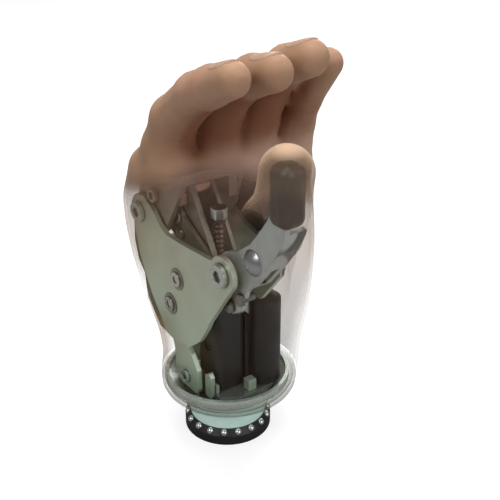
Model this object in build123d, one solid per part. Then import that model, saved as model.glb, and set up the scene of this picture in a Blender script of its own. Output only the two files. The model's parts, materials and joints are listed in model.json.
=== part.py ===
from build123d import *
import math
import os

# Prosthetic left hand: a motor-driven tripod grip on a quick-disconnect wrist.
# Millimetres. Origin: centre of the coupling face. +Z runs up the forearm axis to the
# fingertips, +X is the palm side, -Y the thumb side, +Y the little-finger side.

# ---- wrist stack (radii and heights about Z)
RING_R = 17.9
RING_TOP_R = 16.0
RING_EDGE_Z = 4.0
RING_TOP_Z = 6.5
RING_BORE_R = 12.0
BALL_R = 1.5
BALL_COUNT = 18
BALL_ORBIT_R = 16.5
BALL_Z = 5.1
COLLAR_R = 15.6
COLLAR_TOP_Z = 12.9
LIP_R = 18.3
LIP_Z = (13.2, 17.1)
SPIGOT_R = 10.0
SPIGOT_CLEAR = 0.05
SPIGOT_BORE_R = 7.0
DISH_R = 25.4
DISH_WALL = 1.4
DISH_FLOOR_Z = 19.6
DISH_CONE_Z = 23.2
DISH_TOP_Z = 26.4
SOCKET_R = 4.5
SOCKET_LENGTH = 8.0

# ---- joint axes, as (x, z) of lines along Y
FINGER_PIVOT = (-30.2, 90.5)
THUMB_PIVOT = (26.5, 86.0)
LINK_FINGER_PIN = (-11.9, 93.1)
LINK_THUMB_PIN = (25.8, 72.3)
PIN_R = 2.5
RUNNING = 0.05

# ---- chassis plates, as the y of their outer and inner faces
PLATE_T = 2.0
RADIAL_Y = -20.0
ULNAR_Y = 16.0
CHEEK_T = 2.0
CHEEK_RADIAL_Y = -17.4
CHEEK_ULNAR_Y = 12.0
LEVER_Y = -15.6
LEVER_T = 2.0
INNER_LEVER_Y = -6.0
LINK_Y = -13.4
LINK_T = 1.6
FORK_RADIAL_Y = -11.4
FORK_T = 2.4
FORK_ULNAR_Y = -1.8
FORK_ULNAR_T = 1.6
INNER_PLATE_Y = 1.0

# ---- fastener and shaft spots, as (x, z) of lines along Y
PLATE_SCREWS = ((-3.7, 71.6), (-9.2, 58.5))
POSTS = ((-27.5, 72.0), (-23.0, 57.0), (-12.5, 66.0))
BRACKET_RIVETS = ((-12.0, 48.5), (-6.5, 48.5))
BRACKET_SCREW = (-2.5, 27.5)
ULNAR_BRACKET_SCREW = (-4.0, 27.5)
CROSS_SHAFT = (-22.0, 99.6)
FORK_BOLT = (-13.5, 84.8)
BUSH_SPOT = (-10.5, 104.4)
WASHER_R = 4.4
WASHER_T = 0.3
THUMB_RIVET = (39.0, 94.6)
LEVER_SCREW = (32.6, 77.6)

# ---- blocks, as their lowest and highest x, y or z
BASE_Z = (22.0, 24.4)
UPSTAND_TOP_Z = 31.0
BRACKET_FOOT_Z = BASE_Z[0] + 0.6
KNUCKLE_X = (-21.0, -3.0)
KNUCKLE_Z = (108.6, 113.0)
CARRIER_Y = ULNAR_Y + PLATE_T + 0.5
CARRIER_T = 7.0
CORE_X = (50.0, 60.0)
CORE_Y = (-19.0, -9.0)
CORE_Z = (113.6, 135.0)

# ---- drive
SCREW_XY = (4.0, -5.5)
SCREW_R = 2.5
NUT_REST_Z = 77.0
NUT_HALF = (4.0, 3.3, 3.0)
TRUNNION_R = 1.5
LOCK_NUT_R = 3.3
LOCK_NUT_Z = (96.3, 100.5)
HOUSING_X = (-3.5, 11.5)
HOUSING_Y = (-12.0, 0.9)
HOUSING_Z = (25.0, 64.0)
CAPSULE_XY = (12.5, 9.6)
CAPSULE_R = 6.4
CAPSULE_Z = (25.0, 61.5)

# ---- skin
SKIN_T = 1.5
HEM_Z = (16.6, 22.6, 26.4)
THENAR_R = 19.5
THUMB_Y = -14.0
CORE_R = 3.0
BALL_EASE = 0.1
# Palm sections from wrist to knuckles: z, x and y limits, then back and palm corner radii.
PALM_SECTIONS = (
    (HEM_Z[2], -27.8, 27.8, -27.8, 27.8, 27.7, 27.7),
    (35.0, -28.0, 27.5, -27.0, 27.0, 24.0, 25.0),
    (45.0, -29.0, 26.5, -26.5, 27.0, 18.0, 21.0),
    (56.0, -32.0, 27.0, -26.5, 27.5, 12.0, 17.0),
    (70.0, -37.0, 27.5, -26.0, 29.0, 10.0, 16.0),
    (84.0, -39.2, 27.0, -26.0, 31.0, 10.0, 17.0),
    (98.0, -37.8, 22.0, -27.5, 33.5, 11.0, 16.0),
    (114.0, -28.0, 9.0, -31.0, 33.5, 13.0, 13.0),
)
# Each finger: its y, then centre line points with skin radius, knuckle to tip.
FINGERS = {
    "index": (-21.5, ((-13, 104, 11.5), (-12, 112, 11.3), (-5.2, 124.4, 10.3),
                      (0.7, 136.4, 8.6), (16.1, 148.5, 7.7), (25, 153, 6.9),
                      (36.5, 157.8, 5.6))),
    "middle": (-5.5, ((-6, 104, 9.5), (-2.6, 112.9, 9.0), (1.8, 126.9, 8.0),
                      (6.8, 139.2, 7.8), (15.9, 148.9, 7.6), (25.3, 154, 7.0),
                      (36.4, 157.3, 6.3))),
    "ring": (11.0, ((-2, 104, 9.0), (1.8, 114.5, 8.2), (5.5, 131, 7.6),
                    (12.6, 146, 7.2), (21.8, 154.4, 6.9), (33, 159.1, 6.3))),
    "little": (27.0, ((2, 102, 7.8), (6.6, 112.5, 7.2), (10, 129, 6.5),
                      (15.4, 139, 6.1), (25, 153.5, 5.2))),
}
THUMB = ((42, 103, 11.5), (48, 112, 10.8), (52.7, 120.7, 9.4), (54.4, 131.7, 8.9))


# ---- shape helpers
def xz_face(outline, corner):
    """A face in the XZ plane from corner points, its corners rounded."""
    face = make_face(Polyline(*outline, close=True))
    return fillet(face.vertices(), corner) if corner else face


def across(sketch, y_low, thickness):
    """Extrude an XZ sketch from y_low towards +Y."""
    return extrude(Plane.XZ.offset(-y_low) * sketch, amount=-thickness)


def plate(outline, y_low, thickness, ears=(), holes=(), corner=1.5):
    """A flat plate normal to Y, with round ears and holes given as (x, z, r)."""
    sketch = xz_face(outline, corner)
    for x, z, r in ears:
        sketch += Pos(x, z) * Circle(r)
    for x, z, r in holes:
        sketch -= Pos(x, z) * Circle(r)
    return across(sketch, y_low, thickness)


def rod(centre, y_low, y_high, radius):
    """A round bar along Y through centre (x, z)."""
    return across(Pos(*centre) * Circle(radius), y_low, y_high - y_low)


def hex_bar(centre, y_low, y_high, radius):
    """A hexagonal bar along Y through centre (x, z)."""
    return across(Pos(*centre) * RegularPolygon(radius, 6), y_low, y_high - y_low)


def upright(x, y, z_low, z_high, radius):
    """A round bar along Z."""
    return Pos(x, y, z_low) * extrude(Circle(radius), amount=z_high - z_low)


def block(x_range, y_range, z_range):
    """A box from its limits."""
    sides = [high - low for low, high in (x_range, y_range, z_range)]
    corner = (x_range[0], y_range[0], z_range[0])
    return Pos(*corner) * Box(*sides, align=(Align.MIN, Align.MIN, Align.MIN))


def socket_screw(centre, face_y, shank_end_y, head_r, shank_r, head_t=2.0):
    """A socket-head screw entering a plate from its -Y face."""
    head = rod(centre, face_y - head_t, face_y, head_r)
    recess = hex_bar(centre, face_y - head_t, face_y - head_t / 2, head_r * 0.55)
    return head - recess + rod(centre, face_y, shank_end_y, shank_r)


def domed_rivet(centre, face_y, shank_end_y, head_r, shank_r, rise):
    """A rivet whose round head stands off a plate's -Y face."""
    sphere_r = (head_r**2 + rise**2) / (2 * rise)
    ball = Pos(centre[0], face_y - rise + sphere_r, centre[1]) * Sphere(sphere_r)
    cap = ball & rod(centre, face_y - rise - 1, face_y, head_r + 1)
    return cap + rod(centre, face_y, shank_end_y, shank_r)


def turned(profile):
    """A solid of revolution about Z from (radius, z) points."""
    return revolve(Plane.XZ * make_face(Polyline(*profile, close=True)), Axis.Z)


def limb(points, y):
    """Overlapping balls and cones along (x, z, radius) points in the plane y."""
    pieces = [Pos(x, y, z) * Sphere(r + BALL_EASE) for x, z, r in points]
    for (x0, z0, r0), (x1, z1, r1) in zip(points, points[1:]):
        start = Vector(x0, y, z0)
        run = Vector(x1, y, z1) - start
        base = Plane(start, z_dir=run)
        if r0 == r1:
            tube = Solid.make_cylinder(r0, run.length, base)
        else:
            tube = Solid.make_cone(r0, r1, run.length, base)
        pieces.append(tube)
    return Part() + pieces


def export(node, shape):
    """Write one named node."""
    export_step(shape, f"parts/{node}.step")


# ---- wrist coupling, the root body
def roller_ring():
    """Black ring with a conical shoulder that seats the balls."""
    ring = turned([
        (RING_BORE_R, 0), (RING_R, 0), (RING_R, RING_EDGE_Z),
        (RING_TOP_R, RING_TOP_Z), (RING_BORE_R, RING_TOP_Z),
    ])
    return ring - ring_balls()


def ring_balls():
    """Steel balls in a circle round the shoulder."""
    spot = Pos(BALL_ORBIT_R, 0, BALL_Z) * Sphere(BALL_R)
    step = 360 / BALL_COUNT
    return Compound([(Rot(0, 0, i * step) * spot).solid() for i in range(BALL_COUNT)])


def coupling_collar():
    """Pale collar on the ring, with the hollow spigot that the hand turns on."""
    top = DISH_FLOOR_Z + 1.3
    return turned([
        (SPIGOT_BORE_R, RING_TOP_Z), (COLLAR_R, RING_TOP_Z),
        (COLLAR_R, COLLAR_TOP_Z - 0.6), (COLLAR_R - 0.6, COLLAR_TOP_Z),
        (SPIGOT_R, COLLAR_TOP_Z), (SPIGOT_R, top), (SPIGOT_BORE_R, top),
    ])


def retaining_ring():
    """Clip on top of the spigot that holds the dish down."""
    low = DISH_FLOOR_Z + 0.1
    return turned([(SPIGOT_R, low), (12.2, low), (12.2, low + 1.1), (SPIGOT_R, low + 1.1)])


def contact_socket():
    """Black plug body inside the ring, bored for the brass sleeve."""
    body = upright(0, 0, 0.3, RING_TOP_Z, RING_BORE_R)
    stem = upright(0, 0, RING_TOP_Z, 15.0, SPIGOT_BORE_R)
    return body + stem - upright(0, 0, 0.3, SOCKET_LENGTH + 0.5, 6.0)


def contact_sleeve():
    """Brass sleeve that receives the coaxial plug of the forearm."""
    sleeve = upright(0, 0, 0.5, 0.5 + SOCKET_LENGTH, 6.0)
    return sleeve - upright(0, 0, 0.5, 0.5 + SOCKET_LENGTH, SOCKET_R)


# ---- hand frame
def wrist_collar(screw_spots):
    """Lip ring under the dish, running on the spigot."""
    bore = SPIGOT_R + SPIGOT_CLEAR
    ring = turned([
        (bore, LIP_Z[0]), (LIP_R - 0.5, LIP_Z[0]), (LIP_R, LIP_Z[0] + 0.5),
        (LIP_R, LIP_Z[1]), (bore, LIP_Z[1]),
    ])
    for x, y in screw_spots:
        ring -= upright(x, y, LIP_Z[0], LIP_Z[1], 1.0)
    return ring


def wrist_dish(screw_spots):
    """Aluminium dish that closes the glove and carries the chassis."""
    bore = SPIGOT_R + SPIGOT_CLEAR
    inner = DISH_R - DISH_WALL
    dish = turned([
        (bore, LIP_Z[1]), (LIP_R - 0.3, LIP_Z[1]), (DISH_R, DISH_CONE_Z),
        (DISH_R, DISH_TOP_Z), (inner, DISH_TOP_Z), (inner, DISH_CONE_Z + 0.8),
        (LIP_R - 0.9, DISH_FLOOR_Z), (bore, DISH_FLOOR_Z),
    ])
    for x, y in screw_spots:
        dish -= upright(x, y, LIP_Z[1], DISH_FLOOR_Z, 1.0)
    return dish


def dish_screws(screw_spots):
    """Cap screws from the dish floor into the lip ring."""
    screws = []
    for x, y in screw_spots:
        head = upright(x, y, DISH_FLOOR_Z, DISH_FLOOR_Z + 1.3, 1.7)
        recess = Pos(x, y, DISH_FLOOR_Z + 0.6) * extrude(RegularPolygon(0.9, 6), amount=0.7)
        shank = upright(x, y, LIP_Z[0], DISH_FLOOR_Z, 1.0)
        screws.append((head - recess + shank).solid())
    return Compound(screws)


def chassis_base():
    """Cross plate on four feet, with an upstand for each lower bracket."""
    base = upright(0, 0, *BASE_Z, 19.8) & block((-13, 19), (-13.4, 14), BASE_Z)
    for x in (-11, 11):
        for y in (-11, 11):
            base += upright(x, y, DISH_FLOOR_Z, BASE_Z[0], 2.2)
    base += block((-8, 4), (-16, -13.4), (BASE_Z[0], UPSTAND_TOP_Z))
    base += block((-9, 1), (12, 14), (BASE_Z[0], UPSTAND_TOP_Z))
    return base - rod(BRACKET_SCREW, -16, -13.4, 1.5) - rod(ULNAR_BRACKET_SCREW, 12, 14, 1.5)


def base_lugs():
    """Bright clamp blocks between the base and the two housings."""
    lugs = [
        block((8.5, 12.0), (-13.2, -12.1), (BASE_Z[1], 28.5)),
        block((14.5, 18.0), (-2.0, 1.6), (BASE_Z[1], 29.5)),
    ]
    return Compound([lug.solid() for lug in lugs])


def side_plate_radial():
    """Main thumb-side plate, its top edge scooped between the two pivot ears."""
    outline = [
        (-34.8, 95.5), (-35.7, 76), (-33.4, 68.4), (-29, 63.7), (-27.5, 53), (-18.5, 44.2),
        (-7.8, 42.4), (4.5, 45.4), (11, 51), (16.1, 58.6), (18.3, 62.7), (30.6, 80),
        (32.6, 86), (29, 91.5), (24.6, 91), (19, 89), (0, 87.7), (-11, 87.6),
        (-16, 90), (-20, 94), (-26.6, 98), (-32, 97.5),
    ]
    ears = [(*THUMB_PIVOT, 7.0), (*FINGER_PIVOT, 6.4)]
    holes = [(*FINGER_PIVOT, PIN_R), (*THUMB_PIVOT, PIN_R)]
    holes += [(x, z, 2.0) for x, z in PLATE_SCREWS] + [(x, z, 1.5) for x, z in POSTS]
    holes += [(x, z, 1.2) for x, z in BRACKET_RIVETS]
    return plate(outline, RADIAL_Y, PLATE_T, ears, holes, corner=1.0)


def side_plate_ulnar():
    """Little-finger-side plate, narrower and lower than the main one."""
    outline = [
        (-34.8, 95.5), (-35.7, 76), (-33.4, 68.4), (-29, 63.7), (-27.5, 53), (-18.5, 44.2),
        (-4, 42.4), (3, 48), (5.5, 62), (9, 70), (11, 79), (4, 80.3), (-4, 81.6),
        (-12.3, 84), (-19.3, 88), (-24.5, 93), (-30, 97),
    ]
    holes = [(*FINGER_PIVOT, PIN_R)] + [(x, z, 1.5) for x, z in POSTS]
    holes += [(x, z, 1.2) for x, z in BRACKET_RIVETS]
    return plate(outline, ULNAR_Y, PLATE_T, [(*FINGER_PIVOT, 6.4)], holes, corner=1.0)


def lower_bracket_radial():
    """Bracket from the base upstand to the foot of the main plate."""
    outline = [
        (-10.5, 27.5), (-7, BRACKET_FOOT_Z), (4.6, BRACKET_FOOT_Z), (5.8, 25), (5.6, 33.5),
        (1.4, 39.5), (-1.5, 42), (-1.5, 52), (-15.5, 52), (-13.6, 44), (-11, 37),
    ]
    holes = [(*BRACKET_SCREW, 1.5)] + [(x, z, 1.2) for x, z in BRACKET_RIVETS]
    return plate(outline, RADIAL_Y + PLATE_T, CHEEK_T, (), holes)


def lower_bracket_ulnar():
    """Bracket from the base upstand to the foot of the ulnar plate."""
    outline = [
        (-10, 27.5), (-7, BRACKET_FOOT_Z), (1, BRACKET_FOOT_Z), (1, 34), (-3.5, 42),
        (-3.5, 52), (-15.5, 52),
    ]
    holes = [(*ULNAR_BRACKET_SCREW, 1.5)] + [(x, z, 1.2) for x, z in BRACKET_RIVETS]
    return plate(outline, ULNAR_Y - CHEEK_T, CHEEK_T, (), holes)


def bracket_strip():
    """Narrow strip beside the radial bracket, standing on the base edge."""
    foot = BRACKET_FOOT_Z
    outline = [(6.8, foot), (11.0, foot), (11.0, 32), (9.4, 34), (6.8, 32)]
    return plate(outline, -15.3, 1.9, (), (), corner=0.8)


def bracket_screws():
    """Pan screws that hold the lower brackets to the base upstands."""
    radial = socket_screw(BRACKET_SCREW, -18, -13.4, 2.6, 1.5, head_t=1.2)
    ulnar = rod(ULNAR_BRACKET_SCREW, 12, 16, 1.5) + rod(ULNAR_BRACKET_SCREW, 16, 17.2, 2.6)
    return Compound([radial.solid(), ulnar.solid()])


def bracket_rivets():
    """Rivets through the lower brackets and the plates."""
    rivets = []
    for spot in BRACKET_RIVETS:
        rivets.append(rod(spot, RADIAL_Y, RADIAL_Y + PLATE_T + CHEEK_T, 1.2).solid())
        rivets.append(rod(spot, ULNAR_Y - CHEEK_T, ULNAR_Y + PLATE_T, 1.2).solid())
    return Compound(rivets)


def spacer_posts():
    """Round posts that hold the side plates apart."""
    low, high = RADIAL_Y + PLATE_T, ULNAR_Y
    return Compound([rod(spot, low, high, 2.6).solid() for spot in POSTS])


def post_screws():
    """Short studs that close each spacer post."""
    studs = []
    for spot in POSTS:
        studs.append(rod(spot, RADIAL_Y, RADIAL_Y + PLATE_T, 1.5).solid())
        studs.append(rod(spot, ULNAR_Y, ULNAR_Y + PLATE_T, 1.5).solid())
    return Compound(studs)


def plate_washers():
    """Raised rings under the two main plate screws."""
    rings = []
    for spot in PLATE_SCREWS:
        face = RADIAL_Y - WASHER_T
        ring = rod(spot, face, RADIAL_Y, WASHER_R) - rod(spot, face, RADIAL_Y, 2.0)
        rings.append(ring.solid())
    return Compound(rings)


def plate_screws():
    """Socket screws that hold the standoffs to the main plate."""
    screws = []
    for spot in PLATE_SCREWS:
        screw = socket_screw(spot, RADIAL_Y - WASHER_T, -15.0, 3.0, 2.0, head_t=0.8)
        screws.append(screw.solid())
    return Compound(screws)


def standoffs():
    """Threaded standoffs behind the main plate screws."""
    parts = []
    for spot in PLATE_SCREWS:
        body = rod(spot, RADIAL_Y + PLATE_T, -12.4, 3.0)
        parts.append((body - rod(spot, RADIAL_Y + PLATE_T, -15.0, 2.0)).solid())
    return Compound(parts)


def dorsal_strap():
    """Slotted strap across the back, between the side plates."""
    strap = block((-34.8, -33.3), (RADIAL_Y + PLATE_T, ULNAR_Y), (71.5, 81.0))
    return strap - block((-34.8, -33.3), (-8, 4), (74.5, 78))


def motor_housing():
    """Black gearbox housing with a cylindrical chamber for the motor."""
    body = block(HOUSING_X, HOUSING_Y, HOUSING_Z)
    body = fillet(body.edges().filter_by(Axis.Z), 2.5)
    body -= upright(*SCREW_XY, HOUSING_Z[0] + 1.5, HOUSING_Z[1] - 2.0, 5.2)
    body -= upright(*SCREW_XY, HOUSING_Z[1] - 2.0, HOUSING_Z[1], SCREW_R + RUNNING)
    return body - rod((4.0, 43.0), HOUSING_Y[0], HOUSING_Y[0] + 1.0, 2.6)


def motor_can():
    """Drive motor inside the housing."""
    return upright(*SCREW_XY, HOUSING_Z[0] + 1.5, 48.0, 5.2)


def gearhead():
    """Planetary gearhead above the motor, bored for the screw's journal."""
    body = upright(*SCREW_XY, 48.2, 60.0, 5.2)
    return body - upright(*SCREW_XY, 55.0, 60.0, SCREW_R + RUNNING)


def control_capsule():
    """Round-topped black capsule beside the housing, hollow for the control board."""
    x, y = CAPSULE_XY
    body = upright(x, y, *CAPSULE_Z, CAPSULE_R)
    dome_r = 9.0
    drop = math.sqrt(dome_r**2 - CAPSULE_R**2)
    dome = Pos(x, y, CAPSULE_Z[1] - drop) * Sphere(dome_r)
    cap = dome & upright(x, y, CAPSULE_Z[1], CAPSULE_Z[1] + 6, CAPSULE_R)
    return body + cap - upright(x, y, CAPSULE_Z[0] + 1.5, CAPSULE_Z[1] - 1.5, 5.0)


def control_board():
    """Circuit board with its larger components."""
    x, y = CAPSULE_XY
    board = block((x - 0.6, x + 0.6), (y - 4.0, y + 4.0), (27, 58))
    for z in (30, 38, 48):
        board += block((x + 0.6, x + 2.4), (y - 2.5, y + 2.5), (z, z + 5))
    return board


def inner_plate():
    """Short plate on the housing that carries the inner end of the thumb pin."""
    outline = [
        (-2, 56), (5.9, 56), (5.9, 64), (12, 66.8), (21, 67), (33, 82), (31, 91), (21, 92), (10, 80),
        (-2, 68),
    ]
    ears = [(*THUMB_PIVOT, 7.0)]
    holes = [(*THUMB_PIVOT, PIN_R)]
    return plate(outline, INNER_PLATE_Y, PLATE_T, ears, holes)


def finger_pivot_pin():
    """Shouldered screw on the finger axis, through both plates."""
    low, high = RADIAL_Y, ULNAR_Y + PLATE_T
    pin = socket_screw(FINGER_PIVOT, low, high, 4.0, PIN_R)
    return pin + rod(FINGER_PIVOT, high, high + 1.6, 3.6)


def thumb_pivot_pin():
    """Shouldered screw on the thumb axis."""
    high = INNER_PLATE_Y + PLATE_T
    pin = socket_screw(THUMB_PIVOT, RADIAL_Y, high, 4.4, PIN_R)
    return pin + rod(THUMB_PIVOT, high, high + 1.3, 3.6)


# ---- drive bodies
def drive_screw():
    """Grooved quick-lead screw on its journal."""
    x, y = SCREW_XY
    pitch, depth, first, last = 2.0, 0.45, 67.0, 95.0
    profile = [(0, 55.2), (SCREW_R, 55.2), (SCREW_R, first)]
    for i in range(int((last - first) / pitch)):
        z = first + i * pitch
        profile += [(SCREW_R - depth, z + pitch / 2), (SCREW_R, z + pitch)]
    profile += [(SCREW_R, 96.3), (0, 96.3)]
    shaft = turned(profile) + upright(0, 0, 64.2, 65.6, 4.2)
    return Pos(x, y) * shaft


def screw_lock_nut():
    """Bright hexagon nut that ends the screw."""
    low, high = LOCK_NUT_Z
    nut = Pos(*SCREW_XY, low) * extrude(RegularPolygon(LOCK_NUT_R, 6), amount=high - low)
    return nut & upright(*SCREW_XY, low, high, LOCK_NUT_R - 0.1)


def travel_nut():
    """Nut block with a trunnion on each side."""
    x, y = SCREW_XY
    half_x, half_y, half_z = NUT_HALF
    nut = block((x - half_x, x + half_x), (y - half_y, y + half_y),
                (NUT_REST_Z - half_z, NUT_REST_Z + half_z))
    nut -= upright(x, y, NUT_REST_Z - half_z, NUT_REST_Z + half_z, SCREW_R + RUNNING)
    centre = (x, NUT_REST_Z)
    nut += rod(centre, y + half_y, FORK_ULNAR_Y + FORK_ULNAR_T, TRUNNION_R)
    return nut + rod(centre, FORK_RADIAL_Y, y - half_y, TRUNNION_R)


# ---- finger unit
def finger_cheek_radial():
    """Thumb-side cheek of the finger bracket, with a lip along its palm edge."""
    outline = [
        (-35.6, 92), (-33.5, 101), (-14, 107.5), (-6, 108.5), (-5.5, 103), (-12, 92),
        (-19.5, 82.5), (-28, 84.2),
    ]
    ears = [(*FINGER_PIVOT, 6.2)]
    holes = [(*FINGER_PIVOT, PIN_R + RUNNING), (*CROSS_SHAFT, 1.6)]
    cheek = plate(outline, CHEEK_RADIAL_Y, CHEEK_T, ears, holes)
    lip = xz_face([(-18.3, 84.7), (-14.8, 89.9), (-16.1, 90.8), (-19.6, 85.6)], 0)
    return cheek + across(lip, CHEEK_RADIAL_Y + CHEEK_T, 1.8)


def finger_cheek_ulnar():
    """Little-finger-side cheek of the finger bracket."""
    outline = [
        (-35.6, 92), (-33.5, 101), (-14, 107.5), (-7, 107.5), (-12, 92), (-19.5, 82.5), (-28, 84.2),
    ]
    ears = [(*FINGER_PIVOT, 6.2)]
    holes = [(*FINGER_PIVOT, PIN_R + RUNNING), (*CROSS_SHAFT, 1.6)]
    return plate(outline, CHEEK_ULNAR_Y, CHEEK_T, ears, holes)


def fork_outline():
    """Drive plate outline: pivot ear, high nose and an arm to the nut."""
    return [
        (-35.2, 94), (-27, 102), (-15, 110.5), (-9.5, 110.5), (-3, 101), (5.5, 87.5), (9.8, 80),
        (9.8, 73.5), (4, 72.5), (-8, 77), (-22, 84), (-32, 85),
    ]


def trunnion_slot():
    """Slot for a nut trunnion, pointing at the finger axis."""
    x, z = SCREW_XY[0], NUT_REST_Z
    run_x, run_z = x - FINGER_PIVOT[0], z - FINGER_PIVOT[1]
    angle = math.degrees(math.atan2(run_z, run_x))
    width = 2 * (TRUNNION_R + 0.5)
    middle = 36.2
    turn = math.radians(angle)
    centre_x = FINGER_PIVOT[0] + middle * math.cos(turn)
    centre_z = FINGER_PIVOT[1] + middle * math.sin(turn)
    return Pos(centre_x, centre_z) * (Rot(0, 0, angle) * SlotCenterToCenter(5.0, width))


def drive_fork():
    """Two drive plates that straddle the nut."""
    blanks = []
    for y_low, thick in ((FORK_RADIAL_Y, FORK_T), (FORK_ULNAR_Y, FORK_ULNAR_T)):
        sketch = xz_face(fork_outline(), 1.5) + Pos(*FINGER_PIVOT) * Circle(6.5)
        sketch -= trunnion_slot()
        sketch -= Pos(*FINGER_PIVOT) * Circle(PIN_R + RUNNING)
        for spot, radius in ((CROSS_SHAFT, 3.0), (FORK_BOLT, 1.5), (BUSH_SPOT, 1.5)):
            sketch -= Pos(*spot) * Circle(radius)
        if y_low == FORK_RADIAL_Y:
            sketch -= Pos(*LINK_FINGER_PIN) * Circle(1.5)
        blanks.append(across(sketch, y_low, thick).solid())
    return Compound(blanks)


def cross_shaft():
    """Shaft that ties both cheeks and the drive plates together."""
    low, high = CHEEK_RADIAL_Y + CHEEK_T, CHEEK_ULNAR_Y
    shaft = rod(CROSS_SHAFT, low, high, 3.0)
    shaft -= rod(CROSS_SHAFT, low, low + 4, 1.6)
    return shaft - rod(CROSS_SHAFT, high - 4, high, 1.6)


def cheek_screws():
    """Screws through each cheek into the cross shaft."""
    radial = socket_screw(CROSS_SHAFT, CHEEK_RADIAL_Y, CHEEK_RADIAL_Y + CHEEK_T + 4, 2.9, 1.6)
    outer = CHEEK_ULNAR_Y + CHEEK_T
    ulnar = rod(CROSS_SHAFT, outer - CHEEK_T - 4, outer, 1.6) + rod(CROSS_SHAFT, outer, outer + 1.8, 2.9)
    return Compound([radial.solid(), ulnar.solid()])


def fork_bolts():
    """Cross bolts between the two drive plates."""
    low, high = FORK_RADIAL_Y, FORK_ULNAR_Y + FORK_ULNAR_T
    lower = rod(FORK_BOLT, low, high, 1.5) + rod(FORK_BOLT, low - 1.2, low, 2.2)
    upper = rod(BUSH_SPOT, low, high, 1.5) + rod(BUSH_SPOT, low - 1.2, low, 2.4)
    return Compound([lower.solid(), upper.solid()])


def copper_bush():
    """Copper-coloured bush on the upper cross bolt."""
    low, high = FORK_RADIAL_Y + FORK_T, FORK_ULNAR_Y
    return rod(BUSH_SPOT, low, high, 3.9) - rod(BUSH_SPOT, low, high, 1.5)


def link_finger_pin():
    """Headed pin of the drive link on the radial drive plate."""
    low = LINK_Y - 1.2
    head = rod(LINK_FINGER_PIN, low, LINK_Y - 0.1, 2.4)
    return head + rod(LINK_FINGER_PIN, LINK_Y - 0.1, FORK_RADIAL_Y + FORK_T, 1.5)


def knuckle_beam():
    """Black beam across the cheeks that the four finger cores stand on."""
    beam = block(KNUCKLE_X, (-24.0, 28.0), KNUCKLE_Z)
    beam = fillet(beam.edges().filter_by(Axis.Z), 3.0)
    foot_r = block((-16, -8), (CHEEK_RADIAL_Y + CHEEK_T, -11.6), (99.0, KNUCKLE_Z[0]))
    foot_u = block((-20, -9), (CHEEK_ULNAR_Y - 4.0, CHEEK_ULNAR_Y), (97.0, KNUCKLE_Z[0]))
    beam += foot_r + foot_u
    for y_low, thick in ((FORK_RADIAL_Y, FORK_T), (FORK_ULNAR_Y, FORK_ULNAR_T)):
        beam -= block((-17, -7), (y_low, y_low + thick), (KNUCKLE_Z[0], 111.0))
    beam -= rod(BUSH_SPOT, FORK_RADIAL_Y - 1.3, FORK_RADIAL_Y, 2.6)
    return beam - rod(CROSS_SHAFT, CHEEK_ULNAR_Y - 4.0, CHEEK_ULNAR_Y, 3.1)


def carrier_block():
    """Black block on the finger axis that carries the two outer fingers."""
    outline = [
        (-30, 81), (-9, 78.5), (-1.5, 82), (0, 87), (-3, 94), (-9, 98), (-33, 97), (-34, 87),
    ]
    return plate(outline, CARRIER_Y, CARRIER_T, (), ((*FINGER_PIVOT, 4.2),))


def carrier_arm():
    """Arm from the carrier block up to the knuckle beam."""
    outer = CARRIER_Y + CARRIER_T
    arm = block((-30, -22), (outer, outer + 2.0), (85, 104))
    return arm + block((-24, -10), (CARRIER_Y, outer + 2.0), (100, KNUCKLE_Z[0]))


def finger_core(name):
    """Rod that stiffens one finger, standing on the knuckle beam."""
    y, points = FINGERS[name]
    path = [(x, z, CORE_R) for x, z, _ in points[1:-1]]
    foot = (path[0][0], KNUCKLE_Z[1] + CORE_R, CORE_R)
    core = limb([foot] + path[1:], y)
    return core - block((-60, 60), (-60, 60), (60, KNUCKLE_Z[1]))


# ---- thumb unit
def thumb_lever():
    """Folded lever: a web on the thumb axis and a slotted flange on its palm edge."""
    outline = [
        (19, 84.5), (26.8, 93.3), (37.3, 100.8), (43.8, 109), (46.9, 113.3), (50.6, 120),
        (56, 120), (56.2, 113.5), (55.7, 109.4), (52.3, 102.8), (44, 92.1), (34.9, 81.3),
        (32, 72.5), (27, 69.2), (22.6, 70.5), (22, 78),
    ]
    ears = [(*THUMB_PIVOT, 7.5)]
    holes = [(*THUMB_PIVOT, PIN_R + RUNNING), (*THUMB_RIVET, 2.0)]
    holes += [(*LINK_THUMB_PIN, 1.5), (*LEVER_SCREW, 1.4)]
    web = plate(outline, LEVER_Y, LEVER_T, ears, holes)
    flange = xz_face([(55.4, 110.5), (52.3, 102.8), (44, 92.1), (36.4, 83.1), (34.6, 84.4),
                      (42.4, 93.4), (50.6, 103.9), (53.5, 111.0)], 0)
    flange = across(flange, LEVER_Y + LEVER_T, 7.6)
    return web + flange - block((36, 46), (-11.5, -8.5), (84, 92.5))


def thumb_lever_inner():
    """Inner web of the thumb lever."""
    outline = [(20, 84), (26, 93), (36, 98.5), (43, 99.6), (41.4, 92.4), (34, 83.6), (29, 79)]
    holes = [(*THUMB_PIVOT, PIN_R + RUNNING), (*THUMB_RIVET, 2.0)]
    return plate(outline, INNER_LEVER_Y, LEVER_T, [(*THUMB_PIVOT, 6.5)], holes)


def thumb_rivet():
    """Large domed rivet through both webs."""
    end = INNER_LEVER_Y + LEVER_T
    return domed_rivet(THUMB_RIVET, LEVER_Y, end, 4.9, 2.0, 2.4)


def thumb_spacer():
    """Spacer tube on the rivet between the webs."""
    low, high = LEVER_Y + LEVER_T, INNER_LEVER_Y
    return rod(THUMB_RIVET, low, high, 3.0) - rod(THUMB_RIVET, low, high, 2.0)


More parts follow.
